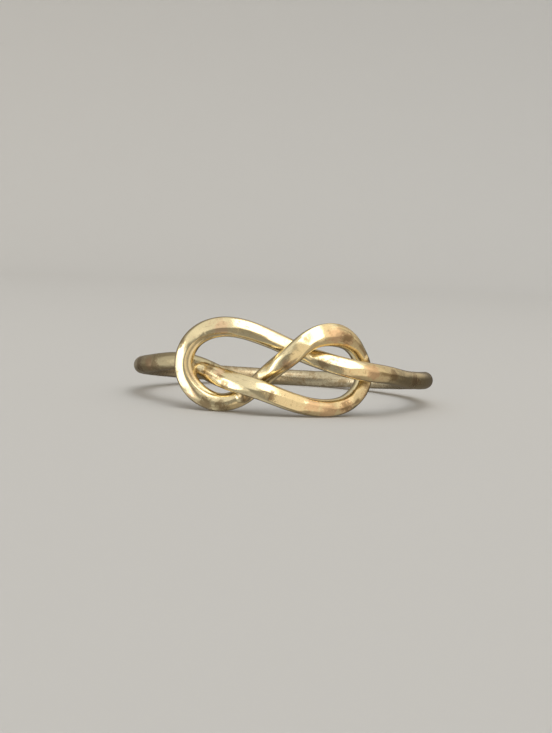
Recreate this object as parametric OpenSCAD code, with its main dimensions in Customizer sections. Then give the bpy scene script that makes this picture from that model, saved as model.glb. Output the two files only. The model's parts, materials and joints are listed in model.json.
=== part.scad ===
// Knot ring: one round wire tied in an open figure-eight knot at the front and closed
// round the back of the finger. Lengths are millimetres.
// The ring lies on its side. It rests on three points: the lower edges of the knot's
// two loops and the back of the band. The knot faces -Y, +X is to the right as it is
// seen from the front, and +Z is up, close to the axis of the finger.

/* [Band] */
// Inside diameter of the band
inner_d = 17.3; // [15.5:0.1:20]
// Diameter of the round wire before any hammering
wire_d = 1.1; // [0.9:0.05:1.15]

/* [Knot] */
// Size of the knot against the one that its rows are drawn for
knot_size = 1; // [0.98:0.01:1.1]
// Clearance between two strands where one crosses over the other
strand_gap = 0.1; // [0.08:0.01:0.2]

/* [Smoothness] */
// Sides of the wire's cross-section
wire_sides = 20; // [12:2:24]
// Sections of the wire between two rows of the knot
knot_steps = 8; // [5:1:10]
// Sections of the wire between two rows of the plain band
band_steps = 4; // [3:1:6]

/* [Hidden] */

// Columns of the knot's rows:
//   AROUND  distance along the band from the middle of the knot, to the right, mm
//   HEIGHT  distance up the finger from the middle of the band, mm
//   LIFT    distance outwards, as a share of the lift of a strand that crosses over
//   SPREAD  width of the wire as a share of its diameter: over 1 where it is hammered
//           flat, and so less deep, and under 1 where a tight bend has thinned it
AROUND = 0;
HEIGHT = 1;
LIFT = 2;
SPREAD = 3;

// The wire's middle line, from the left arm through the knot to the right arm.
// The strands cross at A, under the left loop's outer side, at B and D, the lower and
// upper crossings of the middle, and at C, over the right loop's outer side.
KNOT_ROWS = [
    [-11.5,   0,     0,    1   ],  // left arm
    [ -8.7,   0.08,  0,    1   ],
    [ -6,     0.12,  0,    1   ],  // under A
    [ -4.2,  -0.3,   0.17, 1.1 ],
    [ -2.4,  -0.9,   0.67, 1.1 ],  // through the left eye
    [ -0.8,  -1.35,  1,    1.05],  // over B
    [  1.6,  -2.13,  0.62, 1   ],
    [  3.2,  -2.24,  0.33, 0.96],  // bottom of the right loop
    [  4.72, -1.74,  0.08, 0.95],
    [  5.68, -0.22,  0,    0.92],  // under C
    [  5.08,  1.17,  0.1,  0.9 ],  // thinned round the tightest bend
    [  3.3,   2.07,  0.67, 1.25],  // top of the right loop, hammered widest
    [  2,     1.72,  0.92, 1.12],
    [  1.05,  0.8,   1,    1.08],  // over D
    [ -0.65, -0.76,  0,    1   ],  // under B
    [ -1.65, -1.7,   0,    1   ],
    [ -3,    -2.23,  0.21, 0.98],  // bottom of the left loop
    [ -4.35, -1.65,  0.67, 1.12],
    [ -5,    -0.1,   1,    1.1 ],  // over A
    [ -4.5,   1.47,  0.88, 1.1 ],
    [ -3,     2.22,  0.62, 1.1 ],  // top of the left loop
    [ -1.2,   1.98,  0.25, 1.05],
    [  0.9,   1.2,   0,    0.96],  // under D
    [  2.65,  0.57,  0.33, 1   ],  // through the right eye
    [  5,     0.03,  1,    1.04],  // over C
    [  6.8,  -0.06,  0.7,  0.98],
    [  8.8,  -0.17,  0.17, 0.97],
    [ 11.5,  -0.15,  0,    1   ],  // right arm
];
// Rows of the plain band round the back of the finger
BAND_ROWS = 9;

// Radius of the wire's middle line round the finger, and its length once round
mid_r = (inner_d + wire_d) / 2;
turn = 2 * PI * mid_r;
// How far out the middle line of a strand lies where it crosses over another
over_lift = wire_d + strand_gap;
// Passes that settle the curve's bends, each of which at least halves the error left
SPLINE_PASSES = 60;
// Step along one span, as a share of it, that gives the wire's direction
NUDGE = 0.01;
// The resting angle is looked for between 0 and this one, by halving the range
MOST_LEAN = 20;
LEAN_STEPS = 16;

GOLD = [0.84, 0.7, 0.42];

function unit(v) = v / norm(v);

// Rows of the whole wire with every length in mm, first the knot's and then the band's
knot = [
    for (row = KNOT_ROWS)
        [row[AROUND] * knot_size, row[HEIGHT] * knot_size, row[LIFT] * over_lift, row[SPREAD]]
];
knot_start = knot[0][AROUND];
knot_end = knot[len(knot) - 1][AROUND];
band_gap = (knot_start + turn - knot_end) / (BAND_ROWS + 1);
rows = concat(knot, [for (i = [1 : BAND_ROWS]) [knot_end + i * band_gap, 0, 0, 1]]);
count = len(rows);

// The row before and the row after, round the closed wire
function before(i) = (i + count - 1) % count;
function after(i) = (i + 1) % count;
function row_after(i) = rows[after(i)] + (i + 1 < count ? [0, 0, 0, 0] : [turn, 0, 0, 0]);

// A smooth closed curve through the rows: cubic spans whose slopes and bends agree
// where they meet. spans holds the distances between rows, and slopes the rates of
// change between them.
spans = [
    for (i = [0 : count - 1])
        let (step = row_after(i) - rows[i])
            norm([step[AROUND], step[HEIGHT], step[LIFT]])
];
slopes = [for (i = [0 : count - 1]) (row_after(i) - rows[i]) / spans[i]];

function settle(bends, passes) =
    passes == 0
    ? bends
    : settle(
        [
            for (i = [0 : count - 1])
                let (b = before(i))
                    (6 * (slopes[i] - slopes[b]) - spans[b] * bends[b] - spans[i] * bends[after(i)])
                    / (2 * (spans[b] + spans[i]))
        ],
        passes - 1
    );
bends = settle([for (row = rows) [0, 0, 0, 0]], SPLINE_PASSES);

// The row at share t of the way from row i to the next
function along(i, t) =
    let (s = 1 - t)
        s * rows[i] + t * row_after(i)
        + spans[i] ^ 2 / 6 * ((s ^ 3 - s) * bends[i] + (t ^ 3 - t) * bends[after(i)]);

// Place of a row on the ring, with the finger's axis along Z
function place(row) =
    let (angle = 360 * row[AROUND] / turn, radius = mid_r + row[LIFT])
        [radius * sin(angle), -radius * cos(angle), row[HEIGHT]];

// One cross-section: an ellipse whose depth is measured away from the finger. Where
// the wire is hammered it is wider than it is deep, and keeps the round wire's area.
function section(i, t) =
    let (
        row = along(i, t),
        centre = place(row),
        ahead = unit(place(along(i, t + NUDGE)) - place(along(i, t - NUDGE))),
        outward = unit([centre.x, centre.y, 0]),
        depth = unit(outward - (outward * ahead) * ahead),
        width = cross(ahead, depth),
        half_width = wire_d / 2 * row[SPREAD],
        half_depth = wire_d / 2 / max(row[SPREAD], 1)
    )
        [
            for (k = [0 : wire_sides - 1])
                let (a = 360 * k / wire_sides)
                    centre + half_depth * cos(a) * depth + half_width * sin(a) * width
        ];

// A span of the knot lies between two of the knot's rows
function steps(i) = i < len(knot) - 1 ? knot_steps : band_steps;
sections = [for (i = [0 : count - 1], k = [0 : steps(i) - 1]) section(i, k / steps(i))];
upright = [for (s = sections) each s];

// The ring leans back until the knot and the back of the band both touch the ground
function lean_z(p, lean) = p.z * cos(lean) - p.y * sin(lean);
function leant(p, lean) = [p.x, p.y * cos(lean) + p.z * sin(lean), lean_z(p, lean)];
front = [for (p = upright) if (p.y < 0) p];
back = [for (p = upright) if (p.y > 0) p];
function rise(lean) =
    min([for (p = front) lean_z(p, lean)]) - min([for (p = back) lean_z(p, lean)]);
function find_lean(low, high, steps_left) =
    let (middle = (low + high) / 2)
        steps_left == 0
        ? middle
        : rise(middle) < 0
        ? find_lean(middle, high, steps_left - 1)
        : find_lean(low, middle, steps_left - 1);
rest_lean = find_lean(0, MOST_LEAN, LEAN_STEPS);

// The origin is under the middle of the resting ring's box
resting = [for (p = upright) leant(p, rest_lean)];
low_corner = [for (axis = [0 : 2]) min([for (p = resting) p[axis]])];
high_corner = [for (axis = [0 : 2]) max([for (p = resting) p[axis]])];
base = [(low_corner.x + high_corner.x) / 2, (low_corner.y + high_corner.y) / 2, low_corner.z];
wire_points = [for (p = resting) p - base];

// Two triangles for each side of the wire between one section and the next
section_count = len(sections);
function corner(j, k) = (j % section_count) * wire_sides + k % wire_sides;
wire_faces = [
    for (j = [0 : section_count - 1], k = [0 : wire_sides - 1])
        each [
            [corner(j, k), corner(j + 1, k), corner(j, k + 1)],
            [corner(j, k + 1), corner(j + 1, k), corner(j + 1, k + 1)],
        ]
];

module knot_ring() {
    color(GOLD)
        polyhedron(points = wire_points, faces = wire_faces);
}

knot_ring();
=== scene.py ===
import json
import math
from collections import namedtuple

import bpy
import numpy as np
from bpy.props import FloatProperty, FloatVectorProperty, IntProperty, PointerProperty
from bpy.types import NodeSocket, Operator, Panel, PropertyGroup
from mathutils import Matrix, Vector


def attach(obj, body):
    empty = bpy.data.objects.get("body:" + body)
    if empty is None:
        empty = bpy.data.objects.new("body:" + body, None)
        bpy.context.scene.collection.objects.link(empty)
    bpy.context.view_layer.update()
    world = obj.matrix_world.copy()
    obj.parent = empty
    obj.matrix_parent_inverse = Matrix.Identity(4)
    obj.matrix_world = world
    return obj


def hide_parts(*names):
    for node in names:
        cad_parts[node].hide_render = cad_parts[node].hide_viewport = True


# A finger ring of one round gold wire, tied in an open figure-eight knot and closed
# round the back of the finger. The ring lies on its side: its knot faces -Y, +X is to
# the right as it is seen from the front, and +Z is up. Lengths are in metres.

bl_info = {
    "name": "Knot Ring",
    "version": (1, 0, 0),
    "blender": (4, 5, 0),
    "location": "3D View > Sidebar > Knot Ring",
    "description": "Ties, hammers and polishes the gold wire of a knot ring and lights it in a studio",
    "category": "Object",
}

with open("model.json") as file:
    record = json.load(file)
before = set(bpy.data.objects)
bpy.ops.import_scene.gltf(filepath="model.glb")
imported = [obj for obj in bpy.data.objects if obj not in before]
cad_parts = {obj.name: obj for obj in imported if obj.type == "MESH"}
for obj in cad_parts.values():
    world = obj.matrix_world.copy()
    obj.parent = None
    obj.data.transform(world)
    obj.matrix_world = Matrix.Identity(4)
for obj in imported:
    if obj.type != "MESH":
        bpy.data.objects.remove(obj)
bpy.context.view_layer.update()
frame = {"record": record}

MM = 0.001

# The finger goes through the ring's middle, along this axis. The ring leans back by the
# angle between the axis and Z, so that its knot and the back of its band rest.
FINGER_HOLE = frame["record"]["mounts"][0]
RING_MIDDLE = Vector(FINGER_HOLE["pos_m"])
FINGER_AXIS = Vector(FINGER_HOLE["axis"])
LAY_DOWN = Matrix.LocRotScale(RING_MIDDLE, Vector((0, 0, 1)).rotation_difference(FINGER_AXIS), None)

# Rows of the wire's middle line:
#   around  distance along the band from the middle of the knot, to the right, mm
#   height  distance up the finger from the middle of the band, mm
#   lift    distance outwards, as a share of the lift of a strand that crosses over
#   spread  width of the wire as a share of its diameter: over 1 where it is hammered
#           flat, and so less deep, and under 1 where a tight bend has thinned it
# The strands cross at A, under the left loop's outer side, at B and D, the lower and
# upper crossings of the middle, and at C, over the right loop's outer side.
Row = namedtuple("Row", "around height lift spread")
KNOT_ROWS = (
    Row(-11.5, 0, 0, 1),            # left arm
    Row(-8.7, 0.08, 0, 1),
    Row(-6, 0.12, 0, 1),            # under A
    Row(-4.2, -0.3, 0.17, 1.1),
    Row(-2.4, -0.9, 0.67, 1.1),     # through the left eye
    Row(-0.8, -1.35, 1, 1.05),      # over B
    Row(1.6, -2.13, 0.62, 1),
    Row(3.2, -2.24, 0.33, 0.96),    # bottom of the right loop
    Row(4.72, -1.74, 0.08, 0.95),
    Row(5.68, -0.22, 0, 0.92),      # under C
    Row(5.08, 1.17, 0.1, 0.9),      # thinned round the tightest bend
    Row(3.3, 2.07, 0.67, 1.25),     # top of the right loop, hammered widest
    Row(2, 1.72, 0.92, 1.12),
    Row(1.05, 0.8, 1, 1.08),        # over D
    Row(-0.65, -0.76, 0, 1),        # under B
    Row(-1.65, -1.7, 0, 1),
    Row(-3, -2.23, 0.21, 0.98),     # bottom of the left loop
    Row(-4.35, -1.65, 0.67, 1.12),
    Row(-5, -0.1, 1, 1.1),          # over A
    Row(-4.5, 1.47, 0.88, 1.1),
    Row(-3, 2.22, 0.62, 1.1),       # top of the left loop
    Row(-1.2, 1.98, 0.25, 1.05),
    Row(0.9, 1.2, 0, 0.96),         # under D
    Row(2.65, 0.57, 0.33, 1),       # through the right eye
    Row(5, 0.03, 1, 1.04),          # over C
    Row(6.8, -0.06, 0.7, 0.98),
    Row(8.8, -0.17, 0.17, 0.97),
    Row(11.5, -0.15, 0, 1),         # right arm
)
# Rows of the plain band round the back of the finger
BAND_ROWS = 9

# Flats that the hammer left on the wire, each from one row to another. A flat faces the
# way that turns to the right of the front, -Y, and rises, in degrees, and cut is how
# deep it goes into the wire, mm.
Flat = namedtuple("Flat", "start end turn rise cut")
FLATS = (
    Flat(3.7, 4.8, -32, -4, 0.05),      # before the strand crosses over B
    Flat(3.5, 5.3, 5, 36, 0.13),        # its upper side
    Flat(4.6, 6.3, 13, 27, 0.1),        # after it crosses over B, its upper side
    Flat(4.9, 6.3, 0, -6, 0.1),         # and its front
    Flat(6.9, 8.2, 30, 20, 0.05),       # inner side of the right loop's bottom
    Flat(7.9, 9.4, 12, -10, 0.14),      # before the strand goes under C
    Flat(10.9, 12.6, 13, 28, 0.14),     # top of the right loop
    Flat(12, 13.2, 19, 19, 0.11),       # from there to D
    Flat(12.5, 13.5, 10, -7, 0.08),     # between D and B, its lower side
    Flat(13.3, 14.6, -35, 12, 0.09),    # between D and B
    Flat(16.8, 17.6, -36, -11, 0.08),   # outer side of the left loop's bottom
    Flat(17, 18.8, -34, -4, 0.07),      # left side of the left loop
    Flat(18.8, 20.9, 5, 27, 0.07),      # from there to its top
    Flat(20.3, 22.5, 12, 25, 0.1),      # from the left loop's top towards D
    Flat(20.3, 21.5, -4, -6, 0.06),     # and its front
    Flat(22.4, 24, 14, 25, 0.18),       # from D towards C, its upper side
    Flat(22.6, 24, -10, -8, 0.11),      # and its front
    Flat(24.4, 26, 42, 34, 0.05),       # top of the right arm
)

# Grooves and ridges that the pliers left along the wire, each from one row to another.
# Side is the angle round the wire from the side that faces away from the finger, and
# width and depth are in mm: a depth under 0 is a ridge.
Groove = namedtuple("Groove", "start end side width depth")
GROOVES = (
    Groove(2.5, 3.9, -28, 0.16, 0.02),      # beside the left loop, as it comes from A
    Groove(2.5, 3.9, 12, 0.16, 0.02),
    Groove(9.8, 11.2, 34, 0.16, 0.02),      # right side of the right loop
    Groove(9.8, 11.2, 58, 0.16, 0.02),
    Groove(12.7, 14.2, -38, 0.24, 0.03),    # upper side of the strand between D and B
    Groove(16, 20.6, 51, 0.28, 0.045),      # inner side of the left loop
    Groove(16, 20.6, 78, 0.2, -0.02),
    Groove(22.2, 24, -62, 0.16, 0.02),      # lower side of the strand between D and C
)

# Marks of single blows and slips, each at a row, on the side that faces the given way.
# Size is how wide a mark is and depth how deep, mm: a depth under 0 stands up.
Nick = namedtuple("Nick", "row turn rise size depth")
NICKS = (
    Nick(19.45, -8, -18, 0.3, 0.03),    # pinch on the left loop, near its top
    Nick(19.65, -8, -5, 0.26, -0.022),
    Nick(18.55, -57, 18, 0.32, 0.03),   # dent in its left side
    Nick(15.02, 3, 3, 1.1, -0.3),       # burr at the bottom of the left loop
    Nick(14.7, 14, -2, 0.4, 0.05),      # dent beside it
    Nick(13.85, 20, -40, 0.3, -0.03),   # small burr between D and B
    Nick(9.72, 52, 6, 0.5, -0.06),      # ridge where the right loop comes from under C
    Nick(11.95, 14, 30, 1.6, 0.08),     # broad dent in the top of the right loop
    Nick(2.92, -38, 4, 1.2, -0.2),      # ridge where the strand comes from under A
    Nick(3.2, -38, -4, 0.3, 0.03),      # dent behind it
    Nick(26.4, 50, 10, 0.3, 0.015),     # pit in the right arm
)

# Stains, each at a row, on the side that faces the given way. Size is how wide a stain
# is, mm. Dull ones are brown with wear, and rosy ones have kept the fire's copper red.
Stain = namedtuple("Stain", "row turn rise size")
DULL_STAINS = (
    Stain(0.3, -68, 5, 2.4),
    Stain(1.15, -45, -29, 1.8),
    Stain(3.3, -34, 6, 1.4),
    Stain(3.4, -27, 45, 1.1),
    Stain(3.55, -42, -9, 0.6),
    Stain(3.85, -35, 12, 1.1),
    Stain(4.05, -39, -28, 1.1),
    Stain(5.35, 5, -4, 1),
    Stain(7.6, 38, 1, 1.4),
    Stain(8.7, 44, 2, 1),
    Stain(10.75, 36, 0, 1.5),
    Stain(13.25, 27, -42, 1),
    Stain(14, -47, 26, 0.8),
    Stain(15, 8, -10, 1.3),
    Stain(15.9, 0, -28, 1.4),
    Stain(16.5, -16, -24, 1.4),
    Stain(18.7, -50, 22, 0.9),
    Stain(23.1, -10, -14, 1.5),
    Stain(24.95, 59, -2, 1.5),
    Stain(26.3, 64, -11, 2.2),
)
ROSY_STAINS = (
    Stain(0.9, -52, 0, 1.5),
    Stain(3.75, -26, 42, 1.3),
    Stain(6.35, 27, 17, 1.6),
    Stain(6.9, 24, -16, 2),
    Stain(7.6, 42, -5, 1.6),
    Stain(10.7, 31, -15, 1.4),
    Stain(11.1, 30, 5, 2),
    Stain(13.2, 20, -38, 1.2),
    Stain(17.05, -23, -15, 1.1),
    Stain(20.05, -4, -12, 1.5),
    Stain(24.15, 36, 12, 1.5),
    Stain(31, 160, 10, 3),              # back of the band
)

# Pairs of rows where one strand passes close over another, and shade is painted dark into the gold's
# colour there
CROSSINGS = ((2.2, 17.9), (5, 14.2), (9.2, 23.9), (13, 22))
# Distances from the middle of a crossing over which the painted shade fades, mm
CREVICE_SHADE_DEEP = 0.25
CREVICE_SHADE_EDGE = 0.65

# Rows that a flat or a groove takes to fade at each end
FADE = 0.4
# How much of the bulge over a flat the hammer takes away
FLATNESS = 0.8
# Distance over which the edge of a flat is rounded
FLAT_EDGE = 0.01 * MM

# Radii of the circles that the drawn lines are laid on, mm: one round the wire, and one
# as long round as the wire's middle line
GIRTH_RADIUS = 0.55
LAY_RADIUS = 89.65 / (2 * math.pi)

# Step along the rows that gives the wire's direction
ROW_NUDGE = 0.05
# Passes that settle the curve's bends, each of which at least halves the error left
SPLINE_PASSES = 60


class WireSizes(PropertyGroup):
    inner_diameter: FloatProperty(
        name="Inside Diameter", description="Inside diameter of the band",
        default=17.3 * MM, subtype="DISTANCE", unit="LENGTH")
    wire_diameter: FloatProperty(
        name="Wire Diameter", description="Diameter of the round wire before any hammering",
        default=1.1 * MM, subtype="DISTANCE", unit="LENGTH")
    strand_gap: FloatProperty(
        name="Strand Gap", description="Clearance where one strand crosses over another",
        default=0.1 * MM, subtype="DISTANCE", unit="LENGTH")
    sides: IntProperty(
        name="Sides", description="Sides of the wire's cross-section", default=64, min=12, max=96)
    knot_step: FloatProperty(
        name="Knot Step", description="Distance between two sections of the wire in the knot",
        default=0.046 * MM, subtype="DISTANCE", unit="LENGTH")
    band_step: FloatProperty(
        name="Band Step", description="Distance between two sections of the wire in the plain band",
        default=0.11 * MM, subtype="DISTANCE", unit="LENGTH")
    hammer_depth: FloatProperty(
        name="Hammer Depth", description="Depth of the soft marks that planishing leaves",
        default=0.016 * MM, subtype="DISTANCE", unit="LENGTH")
    hammer_size: FloatProperty(
        name="Hammer Size", description="Width of one hammer mark",
        default=1.3 * MM, subtype="DISTANCE", unit="LENGTH")
    seed: IntProperty(name="Seed", description="Seed of the hammer marks", default=3)


class GoldFinish(PropertyGroup):
    gold: FloatVectorProperty(
        name="Gold", description="Colour of the polished gold",
        default=(0.91, 0.765, 0.465), size=3, min=0, max=1, subtype="COLOR")
    rosy: FloatVectorProperty(
        name="Rosy Gold", description="Colour of the gold where fire has brought up its copper",
        default=(0.9, 0.63, 0.38), size=3, min=0, max=1, subtype="COLOR")
    stain: FloatVectorProperty(
        name="Stain", description="Colour of the dull stains that wear leaves",
        default=(0.36, 0.25, 0.13), size=3, min=0, max=1, subtype="COLOR")
    # Painted shade: this colour darkens the side that faces the finger, standing in for the darker
    # light it reflects there
    inner: FloatVectorProperty(
        name="Inner Side Shade", description="Colour of the side that rubs on the finger",
        default=(0.5, 0.43, 0.32), size=3, min=0, max=1, subtype="COLOR")
    # Painted shade: the dark colour laid between crossing strands and in the grooves
    painted_shade: FloatVectorProperty(
        name="Painted Shade", description="Colour of the polish left where strands cross",
        default=(0.1, 0.07, 0.04), size=3, min=0, max=1, subtype="COLOR")


class StudioSettings(PropertyGroup):
    floor_colour: FloatVectorProperty(
        name="Floor Colour", description="Colour of the seamless floor",
        default=(0.56, 0.555, 0.545), size=3, min=0, max=1, subtype="COLOR")


class Nodes:
    """Adds nodes to one tree. An input is given as a value, or as the socket that feeds it."""

    # The nodes stand in rows in the editor, this far apart
    GAP = 240
    IN_A_ROW = 8

    def __init__(self, tree):
        self.tree = tree
        tree.nodes.clear()

    def add(self, kind, inputs=None, **settings):
        """A new node. Its settings come before its inputs, because they choose its sockets."""
        node = self.tree.nodes.new(kind)
        place = len(self.tree.nodes) - 1
        node.location = (self.GAP * (place % self.IN_A_ROW), -self.GAP * (place // self.IN_A_ROW))
        for name, value in settings.items():
            setattr(node, name, value)
        for key, value in (inputs or {}).items():
            self.feed(node, key, value)
        return node

    def feed(self, node, key, value):
        if isinstance(key, int):
            socket = node.inputs[key]
        else:
            socket = next(s for s in node.inputs if s.enabled and s.name == key)
        if isinstance(value, NodeSocket):
            self.tree.links.new(value, socket)
        else:
            socket.default_value = value

    def math(self, operation, *values):
        return self.add("ShaderNodeMath", dict(enumerate(values)), operation=operation).outputs[0]

    def vector(self, operation, *values):
        node = self.add("ShaderNodeVectorMath", dict(enumerate(values)), operation=operation)
        return node.outputs["Value" if operation in ("DOT_PRODUCT", "LENGTH", "DISTANCE") else "Vector"]

    def scaled(self, vector, factor):
        node = self.add("ShaderNodeVectorMath", {"Vector": vector, "Scale": factor}, operation="SCALE")
        return node.outputs["Vector"]

    def combined(self, x, y, z):
        return self.add("ShaderNodeCombineXYZ", {"X": x, "Y": y, "Z": z}).outputs["Vector"]

    def mapped(self, value, from_low, from_high, to_low=0.0, to_high=1.0):
        inputs = {"Value": value, "From Min": from_low, "From Max": from_high,
                  "To Min": to_low, "To Max": to_high}
        return self.add("ShaderNodeMapRange", inputs, interpolation_type="SMOOTHSTEP").outputs["Result"]

    def noise(self, vector, scale, detail=2.0, roughness=0.5, distortion=0.0, w=None):
        """Noise between 0 and 1 whose coarsest blotches are about 1 / scale wide."""
        inputs = {"Vector": vector, "Scale": scale, "Detail": detail,
                  "Roughness": roughness, "Distortion": distortion}
        if w is not None:
            inputs["W"] = w
        dimensions = "3D" if w is None else "4D"
        return self.add("ShaderNodeTexNoise", inputs, noise_dimensions=dimensions).outputs["Fac"]

    def sum(self, *values):
        total = values[0]
        for value in values[1:]:
            total = self.math("ADD", total, value)
        return total

    def weighted(self, *parts):
        """The sum of sockets, each times its weight."""
        return self.sum(*(self.math("MULTIPLY", socket, weight) for socket, weight in parts))

    def blended(self, factor, colour_a, colour_b):
        node = self.add("ShaderNodeMix", data_type="RGBA")
        for key, value in (("Factor", factor), ("A", colour_a), ("B", colour_b)):
            self.feed(node, key, value)
        return next(s for s in node.outputs if s.enabled)


def rgba(colour):
    return (*colour, 1.0)


def direction(turn, rise):
    """The way that turns to the right of the front, -Y, and rises, both in degrees."""
    turn, rise = math.radians(turn), math.radians(rise)
    return Vector((math.sin(turn) * math.cos(rise), -math.cos(turn) * math.cos(rise), math.sin(rise)))


def ring_direction(turn, rise):
    """The same way as it is in the ring before it is laid down."""
    return LAY_DOWN.to_3x3().transposed() @ direction(turn, rise)


# The wire's path

class WirePath:
    """The closed wire's middle line, with the finger's axis along Z. Each of its sections has
    a point, a spread and its place, counted in rows."""

    def __init__(self, sizes):
        self.turn = math.pi * (sizes.inner_diameter + sizes.wire_diameter)
        self.half_wire = sizes.wire_diameter / 2
        over_lift = sizes.wire_diameter + sizes.strand_gap
        knot = np.array(KNOT_ROWS, float) * (MM, MM, over_lift, 1)
        start, end = knot[0, 0], knot[-1, 0]
        gap = (start + self.turn - end) / (BAND_ROWS + 1)
        band = [(end + gap * i, 0, 0, 1) for i in range(1, BAND_ROWS + 1)]
        rows = np.vstack([knot, band])
        sections, self.places = self.smooth(rows, sizes.knot_step, sizes.band_step)
        around, height, lift, self.spread = sections.T
        angle = 2 * math.pi * around / self.turn
        radius = self.turn / (2 * math.pi) + lift
        self.points = np.stack([radius * np.sin(angle), -radius * np.cos(angle), height], axis=1)

    def smooth(self, rows, knot_step, band_step):
        """Sections close together on a smooth curve through the rows, with their places. The
        curve has cubic spans whose slopes and bends agree where they meet."""
        later = np.roll(rows, -1, axis=0)
        later[-1, 0] += self.turn
        spans = np.linalg.norm((later - rows)[:, :3], axis=1)[:, None]
        slopes = (later - rows) / spans
        earlier_spans = np.roll(spans, 1, axis=0)
        change = 6 * (slopes - np.roll(slopes, 1, axis=0))
        bends = np.zeros_like(rows)
        for _ in range(SPLINE_PASSES):
            pull = earlier_spans * np.roll(bends, 1, axis=0) + spans * np.roll(bends, -1, axis=0)
            bends = (change - pull) / (2 * (earlier_spans + spans))
        later_bends = np.roll(bends, -1, axis=0)
        sections, places = [], []
        for i, span in enumerate(spans[:, 0]):
            step = knot_step if i < len(KNOT_ROWS) - 1 else band_step
            count = math.ceil(span / step)
            for t in np.arange(count) / count:
                s = 1 - t
                bent = (s ** 3 - s) * bends[i] + (t ** 3 - t) * later_bends[i]
                sections.append(s * rows[i] + t * later[i] + span ** 2 / 6 * bent)
                places.append(i + t)
        return np.array(sections), np.array(places)

    def middle(self, row):
        return Vector([np.interp(row, self.places, axis) for axis in self.points.T])

    def surface(self, row, turn, rise):
        """The point of a round wire's surface, at a row, that faces the given way."""
        ahead = (self.middle(row + ROW_NUDGE) - self.middle(row - ROW_NUDGE)).normalized()
        facing = ring_direction(turn, rise)
        facing = (facing - facing.dot(ahead) * ahead).normalized()
        return self.middle(row) + facing * self.half_wire

    def object(self):
        """A closed chain of edges through the sections."""
        count = len(self.points)
        mesh = bpy.data.meshes.new("wire_path")
        edges = [(i, (i + 1) % count) for i in range(count)]
        mesh.from_pydata(self.points.tolist(), edges, [])
        for name, values in (("spread", self.spread), ("row", self.places)):
            mesh.attributes.new(name, "FLOAT", "POINT").data.foreach_set("value", values)
        path = bpy.data.objects.new("wire_path", mesh)
        bpy.context.scene.collection.objects.link(path)
        return path


# The wire's body

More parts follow.
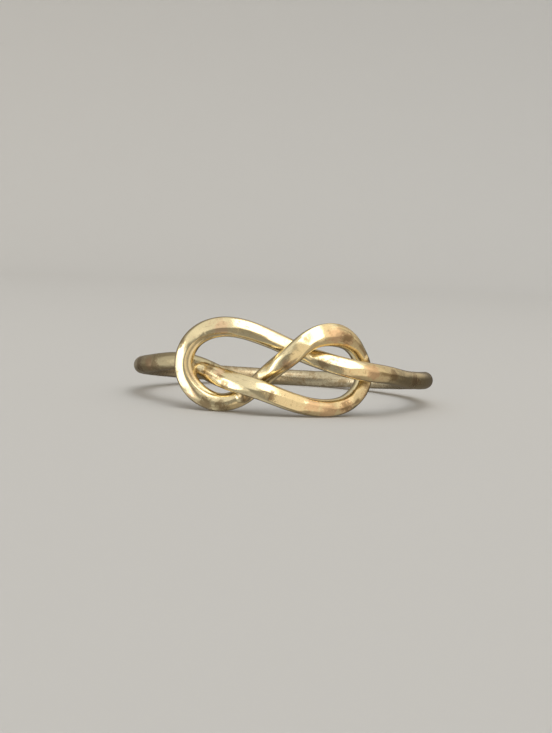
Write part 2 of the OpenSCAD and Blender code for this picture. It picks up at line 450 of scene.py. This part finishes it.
class WireNodes(Nodes):
    """Geometry nodes that sweep the wire's section along its path, flatten it where it was
    hammered, and mark it."""

    SIZES = (("Wire Diameter", "Float"), ("Sides", "Int"), ("Hammer Depth", "Float"),
             ("Hammer Size", "Float"), ("Seed", "Int"), ("Material", "Material"))

    def __init__(self, path):
        tree = bpy.data.node_groups.new("Hammered Wire", "GeometryNodeTree")
        super().__init__(tree)
        for way in ("INPUT", "OUTPUT"):
            tree.interface.new_socket("Geometry", in_out=way, socket_type="NodeSocketGeometry")
        for name, kind in self.SIZES:
            tree.interface.new_socket(name, in_out="INPUT", socket_type="NodeSocket" + kind)
        self.given = self.add("NodeGroupInput").outputs
        wire = self.add("GeometryNodeCurveToMesh",
                        {"Curve": self.line(), "Profile Curve": self.rim()}).outputs[0]
        wire = self.add("GeometryNodeSetPosition",
                        {"Geometry": wire, "Position": self.flattened_section()}).outputs[0]
        wire = self.add("GeometryNodeSetPosition",
                        {"Geometry": wire, "Offset": self.marks(path)}).outputs[0]
        for name, value in (
            # The crevice mask is painted shade between crossing strands and in the grooves
            ("crevice_shade_mask", self.painted_crevice_shades(path)),
            ("dull", self.spots(path, DULL_STAINS)),
            ("rosy", self.spots(path, ROSY_STAINS)),
        ):
            wire = self.store(wire, name, value)
        wire = self.add("GeometryNodeSetShadeSmooth", {"Geometry": wire}).outputs[0]
        wire = self.add("GeometryNodeRealizeInstances", {"Geometry": wire}).outputs[0]
        wire = self.add("GeometryNodeSetMaterial",
                        {"Geometry": wire, "Material": self.given["Material"]}).outputs[0]
        self.add("NodeGroupOutput", {"Geometry": wire})

    def named(self, name, kind="FLOAT_VECTOR"):
        return self.add("GeometryNodeInputNamedAttribute", {"Name": name}, data_type=kind).outputs[0]

    def store(self, geometry, name, value, kind="FLOAT"):
        inputs = {"Geometry": geometry, "Name": name, "Value": value}
        return self.add("GeometryNodeStoreNamedAttribute", inputs, data_type=kind).outputs[0]

    def position(self):
        return self.add("GeometryNodeInputPosition").outputs[0]

    def between(self, start, end):
        """1 between two rows of the wire, fading to 0 at both."""
        row = self.named("row", "FLOAT")
        return self.math("MULTIPLY", self.mapped(row, start, start + FADE),
                         self.mapped(row, end, end - FADE))

    def across_wire(self, way, ahead):
        """The part of a direction that is square to the wire."""
        along = self.scaled(ahead, self.vector("DOT_PRODUCT", way, ahead))
        return self.vector("NORMALIZE", self.vector("SUBTRACT", way, along))

    def circle(self, share):
        """Where a share of a whole turn lies on a circle of radius 1."""
        angle = self.math("MULTIPLY", share, 2 * math.pi)
        return self.combined(self.math("COSINE", angle), self.math("SINE", angle), 0.0)

    def line(self):
        """The middle line. A section's depth points away from the finger and its width runs
        across the wire. Lay is the section's place on a circle as long as the wire."""
        line = self.add("GeometryNodeMeshToCurve", {"Mesh": self.given["Geometry"]}).outputs[0]
        middle = self.position()
        ahead = self.add("GeometryNodeInputTangent").outputs[0]
        depth_way = self.across_wire(self.vector("MULTIPLY", middle, (1, 1, 0)), ahead)
        share = self.add("GeometryNodeSplineParameter").outputs["Factor"]
        for name, value in (
            ("middle", middle),
            ("ahead", ahead),
            ("depth_way", depth_way),
            ("width_way", self.vector("CROSS_PRODUCT", ahead, depth_way)),
            ("lay", self.circle(share)),
        ):
            line = self.store(line, name, value, "FLOAT_VECTOR")
        return line

    def rim(self):
        """The section's corners. Girth is the corner's place on a circle round the wire. The
        circle only counts them, because flattened_section gives each corner its place."""
        rim = self.add("GeometryNodeCurvePrimitiveCircle", {
            "Resolution": self.given["Sides"], "Radius": self.given["Wire Diameter"]}).outputs[0]
        index = self.add("GeometryNodeInputIndex").outputs[0]
        share = self.math("DIVIDE", index, self.given["Sides"])
        return self.store(rim, "girth", self.circle(share), "FLOAT_VECTOR")

    def flattened_section(self):
        """An oval that is wider than deep where the wire is spread, less the flats."""
        half = self.math("DIVIDE", self.given["Wire Diameter"], 2.0)
        spread = self.named("spread", "FLOAT")
        half_width = self.math("MULTIPLY", half, spread)
        half_depth = self.math("DIVIDE", half, self.math("MAXIMUM", spread, 1.0))
        depth = self.scaled(self.named("depth_way"), half_depth)
        width = self.scaled(self.named("width_way"), half_width)
        girth = self.add("ShaderNodeSeparateXYZ", {"Vector": self.named("girth")}).outputs
        corner = self.vector("ADD", self.scaled(depth, girth["X"]), self.scaled(width, girth["Y"]))
        ahead = self.named("ahead")
        # Reach is how far the oval goes towards a flat, and plane is where the flat cuts it
        for flat in FLATS:
            facing = self.across_wire(tuple(ring_direction(flat.turn, flat.rise)), ahead)
            reach = self.vector("LENGTH", self.combined(
                self.vector("DOT_PRODUCT", depth, facing),
                self.vector("DOT_PRODUCT", width, facing), 0.0))
            plane = self.math("SUBTRACT", reach, flat.cut * MM)
            beyond = self.math("SUBTRACT", self.vector("DOT_PRODUCT", corner, facing), plane)
            bulge = self.math("SMOOTH_MAX", beyond, 0.0, FLAT_EDGE)
            near = self.between(flat.start, flat.end)
            taken = self.math("MULTIPLY", bulge, self.math("MULTIPLY", near, FLATNESS))
            corner = self.vector("SUBTRACT", corner, self.scaled(facing, taken))
        return self.vector("ADD", self.named("middle"), corner)

    def marks(self, path):
        """Soft hammer marks all over, grooves and single marks, as moves along the normal."""
        scale = self.math("DIVIDE", 1.0, self.given["Hammer Size"])
        ripple = self.noise(self.position(), scale, detail=1.0, w=self.given["Seed"])
        height = self.math("MULTIPLY", self.math("SUBTRACT", ripple, 0.5), self.given["Hammer Depth"])
        for groove in GROOVES:
            sunk = self.math("MULTIPLY", self.in_groove(path, groove), groove.depth * MM)
            height = self.math("SUBTRACT", height, sunk)
        for nick in NICKS:
            centre = path.surface(nick.row, nick.turn, nick.rise)
            away = self.vector("DISTANCE", self.position(), tuple(centre))
            height = self.math("SUBTRACT", height,
                               self.mapped(away, nick.size / 2 * MM, 0.0, 0.0, nick.depth * MM))
        return self.scaled(self.add("GeometryNodeInputNormal").outputs["Normal"], height)

    def in_groove(self, path, groove):
        """1 along the middle of a groove, fading to 0 at its edges and ends."""
        side = math.radians(groove.side)
        away = self.vector("DISTANCE", self.named("girth"), (math.cos(side), math.sin(side), 0))
        middle = self.mapped(away, groove.width / 2 * MM / path.half_wire, 0.0)
        return self.math("MULTIPLY", middle, self.between(groove.start, groove.end))

    def spots(self, path, stains):
        """1 in the middle of each stain, fading to 0 at its edge."""
        spots = 0.0
        for stain in stains:
            centre = path.surface(stain.row, stain.turn, stain.rise)
            away = self.vector("DISTANCE", self.position(), tuple(centre))
            spots = self.math("MAXIMUM", spots, self.mapped(away, stain.size / 2 * MM, 0.0))
        return spots

    def painted_crevice_shades(self, path):
        """Painted shade: 1 deep between two strands that cross and in the grooves, and 0 in the open.
        """
        dark = 0.0
        for groove in GROOVES:
            if groove.depth > 0:
                dark = self.math("MAXIMUM", dark, self.in_groove(path, groove))
        for row, over_row in CROSSINGS:
            centre = (path.middle(row) + path.middle(over_row)) / 2
            away = self.vector("DISTANCE", self.position(), tuple(centre))
            dark = self.math("MAXIMUM", dark,
                             self.mapped(away, CREVICE_SHADE_EDGE * MM, CREVICE_SHADE_DEEP * MM))
        return dark


def swept(path, tree, inputs):
    """The mesh that the tree makes of a path, without the modifier that made it."""
    modifier = path.modifiers.new("sweep", "NODES")
    modifier.node_group = tree
    for name, value in inputs.items():
        modifier[tree.interface.items_tree[name].identifier] = value
    bpy.context.view_layer.update()
    evaluated = path.evaluated_get(bpy.context.evaluated_depsgraph_get())
    mesh = bpy.data.meshes.new_from_object(evaluated)
    line = path.data
    bpy.data.objects.remove(path)
    bpy.data.meshes.remove(line)
    return mesh


# Sizes of the gold's patterns, mm: pits and specks, dull patches, and rosy patches
GRAIN = 0.2
BLOTCH = 1.1
TINT = 1.3
# Where the tint's noise starts, so that it doesn't follow the blotches
TINT_START = (7, 3, 5)
# Width and length of the drawn lines and of the scratches, and how much both waver
LINE = (0.07, 2.5)
SCRATCH = (0.04, 0.6)
WAVER = 0.4
# Roughness of the polish where nothing has worn it
POLISH = 0.11


def gold_material(finish):
    """Pale yellow gold, polished and then worn, with shade painted dark on the inner side, between
    crossing strands and in the grooves. Lengths are in millimetres.
    """
    material = bpy.data.materials.new("worn_gold")
    material.use_nodes = True
    nodes = Nodes(material.node_tree)

    def attribute(name, output="Vector"):
        return nodes.add("ShaderNodeAttribute", attribute_name=name).outputs[output]

    def lined(width, length, detail):
        """Noise drawn out along the wire, without a seam round it or along it."""
        girth = nodes.vector("MULTIPLY", attribute("girth"), (GIRTH_RADIUS / width,) * 3)
        lay = nodes.vector("MULTIPLY", attribute("lay"), (LAY_RADIUS / length,) * 3)
        lay_x, lay_y, _ = nodes.add("ShaderNodeSeparateXYZ", {"Vector": lay}).outputs
        spot = nodes.vector("ADD", girth, nodes.combined(0.0, 0.0, lay_x))
        return nodes.noise(spot, 1.0, detail, distortion=WAVER, w=lay_y)

    place = nodes.scaled(nodes.add("ShaderNodeTexCoord").outputs["Object"], 1 / MM)
    grain = nodes.noise(place, 1 / GRAIN, 4.0, 0.65)
    blotch = nodes.noise(place, 1 / BLOTCH, 3.0, 0.6, 0.5)
    tint = nodes.noise(nodes.vector("ADD", place, TINT_START), 1 / TINT, 3.0, 0.6, 0.4)
    lines = lined(*LINE, 3.0)
    scratch = nodes.mapped(lined(*SCRATCH, 1.0), 0.66, 0.8)
    crevice_shade_mask = attribute("crevice_shade_mask", "Fac")
    # Outward is 1 on the wire's outer side and -1 on the side that rubs on the finger
    outward = nodes.add("ShaderNodeSeparateXYZ", {"Vector": attribute("girth")}).outputs["X"]
    # The inner side's mask darkens the colour as painted shade, and raises the roughness where the
    # finger rubs
    inner_wear_and_shade = nodes.mapped(outward, 0.2, -0.5)

    # Stains are broken up by the grain and the drawn lines. The last two numbers of dull
    # and of rosy are the sums at which the colour starts and at which it is full.
    broken = nodes.weighted((grain, 0.65), (lines, 0.35))
    # Dull stains also lean a little towards the inner side, which adds to its painted shade
    dull = nodes.mapped(nodes.weighted(
        (attribute("dull", "Fac"), 0.34),
        (inner_wear_and_shade, 0.12),
        (nodes.mapped(blotch, 0.45, 0.75), 0.17),
        (broken, 1.0)), 0.57, 0.83)
    rosy = nodes.mapped(nodes.weighted(
        (attribute("rosy", "Fac"), 0.45),
        (nodes.mapped(tint, 0.45, 0.75), 0.2),
        (broken, 1.0)), 0.56, 0.85)
    # Painted shade: darkens the colour between crossing strands and in the grooves
    painted_shade = nodes.math("MULTIPLY", crevice_shade_mask, nodes.mapped(broken, 0.25, 0.55))
    streaks = nodes.mapped(broken, 0.5, 0.7)

    # Each colour is laid over the ones before, as strongly as its second column says. The inner side's
    # colour and the crevices' colour are painted shade.
    colour = rgba(finish.gold)
    for cover, strength, tone in (
        (rosy, 0.9, finish.rosy),
        (inner_wear_and_shade, 0.6, finish.inner),
        (streaks, 0.14, finish.stain),
        (dull, 0.8, finish.stain),
        (painted_shade, 0.4, finish.painted_shade),
    ):
        colour = nodes.blended(nodes.math("MULTIPLY", cover, strength), colour, rgba(tone))

    roughness = nodes.sum(POLISH, nodes.weighted(
        (nodes.mapped(blotch, 0.3, 0.7), 0.06),
        (grain, 0.05),
        (dull, 0.14),
        (inner_wear_and_shade, 0.08),
        (painted_shade, 0.3)))
    # Heights of the relief, mm
    height = nodes.weighted(
        (lines, 0.003),
        (grain, nodes.mapped(dull, 0.0, 1.0, 0.007, 0.015)),
        (scratch, -0.0015),
        (dull, -0.002))
    bump = nodes.add("ShaderNodeBump", {"Height": height, "Distance": MM, "Strength": 1.0})
    metal = nodes.add("ShaderNodeBsdfPrincipled", {
        "Base Color": colour, "Metallic": 1.0, "Roughness": roughness,
        "Normal": bump.outputs["Normal"]})
    nodes.add("ShaderNodeOutputMaterial", {"Surface": metal.outputs["BSDF"]})
    return material


class KNOT_RING_OT_wire(Operator):
    """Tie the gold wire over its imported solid"""

    bl_idname = "knot_ring.wire"
    bl_label = "Tie Wire"

    def execute(self, context):
        sizes = context.scene.knot_ring_sizes
        path = WirePath(sizes)
        mesh = swept(path.object(), WireNodes(path).tree, {
            "Wire Diameter": sizes.wire_diameter, "Sides": sizes.sides,
            "Hammer Depth": sizes.hammer_depth, "Hammer Size": sizes.hammer_size,
            "Seed": sizes.seed, "Material": gold_material(context.scene.knot_ring_finish)})
        if not mesh.polygons:
            raise RuntimeError("the wire's path made no surface")
        mesh.transform(LAY_DOWN)
        mesh.name = "gold_wire"
        wire = bpy.data.objects.new("gold_wire", mesh)
        context.scene.collection.objects.link(wire)
        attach(wire, "root")
        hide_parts("knot_ring")
        return {"FINISHED"}


# The studio: a round dish of a floor whose rim curves up out of sight, soft light panels
# far away on every side, a lamp for the floor, and the camera. A direction is given by
# how far it turns to the right of the front, -Y, and how far it rises, in degrees.

# Panels of the surroundings, each laid over the ones before. Width and height are the
# degrees that a panel spans, soft is how much of each half its edge takes to fade, and
# glow is its brightness. The floor is hidden from the metal's reflections, so that the
# metal shows these panels below its middle too.
Glow = namedtuple("Glow", "turn rise width height soft glow colour")

# Colours of the panels
WARM = (1, 0.89, 0.74)
COOL = (1, 0.99, 0.95)
BROWN = (1, 0.8, 0.6)

PANELS = (
    Glow(-100, 8, 30, 76, 0.6, 0.46, COOL),     # wall beside the low window
    Glow(-41, 40, 80, 74, 0.5, 0.82, COOL),     # pale wall, front left
    Glow(56, 76, 86, 36, 0.5, 0.9, COOL),       # ceiling, right
    Glow(134, 38, 70, 48, 0.6, 0.58, WARM),     # wall, rear right
    Glow(82, 32, 60, 60, 0.4, 0.74, WARM),      # warm wall, right
    Glow(56, 44, 30, 40, 0.5, 1.05, WARM),      # the light's glare on it
    Glow(80, -66, 110, 40, 0.6, 0.34, WARM),    # floor below it
    Glow(84, -30, 90, 60, 0.6, 0.42, WARM),     # its darker foot
    Glow(30, -10, 50, 76, 0.35, 0.85, WARM),    # low bounce, front right
    Glow(104, -2, 36, 30, 0.6, 0.24, BROWN),    # brown shade, right
    Glow(-20, -17, 34, 50, 0.5, 0.3, COOL),     # dark gap straight ahead
    Glow(-90, -52, 90, 60, 0.7, 0.5, COOL),     # floor in front of the low window
    Glow(-64, -3, 50, 60, 0.5, 0.95, COOL),     # round the low window
    Glow(152, -16, 56, 46, 0.6, 0.1, WARM),     # dark corner, rear right
    Glow(-160, -30, 70, 40, 0.5, 0.12, WARM),   # dark corner, rear left
    Glow(20, 52, 27, 42, 0.3, 2.6, COOL),       # high window, front right
    Glow(-72, -6.5, 18, 44, 0.35, 3, COOL),     # low window, left
)
# The surroundings behind the panels: colours straight down, level, and straight up
GROUND = (0.15, 0.135, 0.11, 1)
HORIZON = (0.22, 0.205, 0.18, 1)
ZENITH = (0.76, 0.76, 0.72, 1)
# Least share of a direction that points at a panel's middle. It keeps a panel off the
# half of the sphere behind it.
LEAST_AHEAD = 0.01

# The square lamp that lights the floor, and the brightness of its face
LAMP_TURN = 20
LAMP_RISE = 70
LAMP_DISTANCE = 0.4
LAMP_SIZE = 0.3
LAMP_GLOW = 1.5

# Radius of the floor's flat middle, then how far its rim curves out and up, and the
# height of the wall above the curve
FLOOR_FLAT = 0.26
FLOOR_CURVE = 0.14
FLOOR_WALL = 0.12
# Sides of the floor all round, and steps of its rim's curve
FLOOR_SIDES = 128
FLOOR_STEPS = 24

# The camera looks at the ring from its own front, measured on the ring before it leans.
# Aside is how far it moves to its right and up without turning. The lens and the film's
# longer side are in mm.
CAMERA_TURN = 4.0
CAMERA_RISE = -2.1
CAMERA_ROLL = 3.1
CAMERA_DISTANCE = 94.75 * MM
CAMERA_ASIDE = Vector((-0.4746, 0.4091)) * MM
CAMERA_LENS = 71.09
CAMERA_FILM = 36
CAMERA_NEAR = 0.01
CAMERA_FAR = 10


def floor_object(settings):
    """A flat disc whose rim curves up into a low wall, seamless from every side."""
    profile = [(0.0, 0.0), (FLOOR_FLAT / 2, 0.0)]
    for i in range(FLOOR_STEPS + 1):
        bend = math.pi / 2 * i / FLOOR_STEPS
        profile.append((FLOOR_FLAT + FLOOR_CURVE * math.sin(bend), FLOOR_CURVE * (1 - math.cos(bend))))
    profile.append((FLOOR_FLAT + FLOOR_CURVE, FLOOR_CURVE + FLOOR_WALL))

    vertices = [(0.0, 0.0, 0.0)]
    for radius, height in profile[1:]:
        for k in range(FLOOR_SIDES):
            angle = 2 * math.pi * k / FLOOR_SIDES
            vertices.append((radius * math.cos(angle), radius * math.sin(angle), height))
    faces = [(0, 1 + k, 1 + (k + 1) % FLOOR_SIDES) for k in range(FLOOR_SIDES)]
    for ring in range(len(profile) - 2):
        inner, outer = 1 + ring * FLOOR_SIDES, 1 + (ring + 1) * FLOOR_SIDES
        for k in range(FLOOR_SIDES):
            after = (k + 1) % FLOOR_SIDES
            faces.append((inner + k, outer + k, outer + after, inner + after))
    mesh = bpy.data.meshes.new("studio_floor")
    mesh.from_pydata(vertices, [], faces)
    mesh.shade_smooth()
    material = bpy.data.materials.new("floor_paper")
    material.use_nodes = True
    nodes = Nodes(material.node_tree)
    paper = nodes.add("ShaderNodeBsdfPrincipled", {
        "Base Color": rgba(settings.floor_colour), "Roughness": 0.8, "Specular IOR Level": 0.2})
    nodes.add("ShaderNodeOutputMaterial", {"Surface": paper.outputs["BSDF"]})
    mesh.materials.append(material)
    floor = bpy.data.objects.new("studio_floor", mesh)
    floor.visible_glossy = False
    bpy.context.scene.collection.objects.link(floor)
    return floor


def lamp_object():
    """The floor's lamp, which neither the camera nor the metal sees."""
    light = bpy.data.lights.new("floor_lamp", "AREA")
    light.shape = "SQUARE"
    light.size = LAMP_SIZE
    light.energy = LAMP_GLOW * math.pi * LAMP_SIZE ** 2
    way = direction(LAMP_TURN, LAMP_RISE)
    lamp = bpy.data.objects.new("floor_lamp", light)
    lamp.matrix_world = Matrix.LocRotScale(
        RING_MIDDLE + way * LAMP_DISTANCE, way.to_track_quat("Z", "Y"), None)
    lamp.visible_camera = False
    lamp.visible_glossy = False
    bpy.context.scene.collection.objects.link(lamp)
    return lamp


def surroundings(world):
    """Paints the light panels on the far sphere all round. A direction lies on a panel if
    it goes aside from the panel's middle by less than the panel's reach both ways."""
    world.use_nodes = True
    nodes = Nodes(world.node_tree)
    way = nodes.add("ShaderNodeTexCoord").outputs["Generated"]
    rise = nodes.add("ShaderNodeSeparateXYZ", {"Vector": way}).outputs["Z"]
    colour = nodes.blended(nodes.mapped(rise, -1.0, 0.0), GROUND, HORIZON)
    colour = nodes.blended(nodes.mapped(rise, 0.5, 1.0), colour, ZENITH)
    for panel in PANELS:
        facing = direction(panel.turn, panel.rise)
        right = direction(panel.turn + 90, 0)
        ahead = nodes.math("MAXIMUM", nodes.vector("DOT_PRODUCT", way, facing), LEAST_AHEAD)
        cover = 1.0
        for side, span in ((right, panel.width), (facing.cross(right), panel.height)):
            reach = math.tan(math.radians(span / 2))
            aside = nodes.math("DIVIDE", nodes.vector("DOT_PRODUCT", way, side), ahead)
            edge = nodes.mapped(nodes.math("ABSOLUTE", aside), reach * (1 + panel.soft / 2),
                                reach * (1 - panel.soft / 2))
            cover = nodes.math("MULTIPLY", cover, edge)
        level = tuple(panel.glow * part for part in panel.colour)
        colour = nodes.blended(cover, colour, rgba(level))
    background = nodes.add("ShaderNodeBackground", {"Color": colour, "Strength": 1.0})
    nodes.add("ShaderNodeOutputWorld", {"Surface": background.outputs[0]})


def camera_object():
    """The camera, placed from the ring's own middle and then leant with the ring."""
    back = direction(CAMERA_TURN, CAMERA_RISE)
    level = direction(CAMERA_TURN + 90, 0)
    up = back.cross(level)
    roll = math.radians(CAMERA_ROLL)
    right = level * math.cos(roll) + up * math.sin(roll)
    up = back.cross(right)
    eye = back * CAMERA_DISTANCE + right * CAMERA_ASIDE.x + up * CAMERA_ASIDE.y
    stand = Matrix((right, up, back)).transposed().to_4x4()
    stand.translation = eye
    lens = bpy.data.cameras.new("camera")
    lens.sensor_width = CAMERA_FILM
    lens.lens = CAMERA_LENS
    lens.clip_start = CAMERA_NEAR
    lens.clip_end = CAMERA_FAR
    camera = bpy.data.objects.new("camera", lens)
    camera.matrix_world = LAY_DOWN @ stand
    bpy.context.scene.collection.objects.link(camera)
    return camera


class KNOT_RING_OT_studio(Operator):
    """Set the floor, its lamp, the surroundings and the camera round the ring"""

    bl_idname = "knot_ring.studio"
    bl_label = "Set Studio"

    def execute(self, context):
        scene = context.scene
        floor_object(scene.knot_ring_studio)
        lamp_object()
        scene.world = bpy.data.worlds.new("studio")
        surroundings(scene.world)
        scene.camera = camera_object()
        scene.view_settings.view_transform = "Standard"
        return {"FINISHED"}


class KNOT_RING_PT_sidebar(Panel):
    bl_label = "Knot Ring"
    bl_idname = "KNOT_RING_PT_sidebar"
    bl_space_type = "VIEW_3D"
    bl_region_type = "UI"
    bl_category = "Knot Ring"

    def draw(self, context):
        layout = self.layout
        for name in GROUPS:
            settings = getattr(context.scene, name)
            for prop in settings.bl_rna.properties:
                if prop.identifier not in ("rna_type", "name"):
                    layout.prop(settings, prop.identifier)
        for operator in OPERATORS:
            layout.operator(operator.bl_idname)


GROUPS = {
    "knot_ring_sizes": WireSizes,
    "knot_ring_finish": GoldFinish,
    "knot_ring_studio": StudioSettings,
}
OPERATORS = (KNOT_RING_OT_wire, KNOT_RING_OT_studio)
CLASSES = (*GROUPS.values(), *OPERATORS, KNOT_RING_PT_sidebar)


def register():
    for cls in CLASSES:
        bpy.utils.register_class(cls)
    for name, group in GROUPS.items():
        setattr(bpy.types.Scene, name, PointerProperty(type=group))


def unregister():
    for name in GROUPS:
        delattr(bpy.types.Scene, name)
    for cls in reversed(CLASSES):
        bpy.utils.unregister_class(cls)


def main():
    register()
    bpy.ops.knot_ring.wire()
    bpy.ops.knot_ring.studio()


if __name__ == "__main__":
    main()
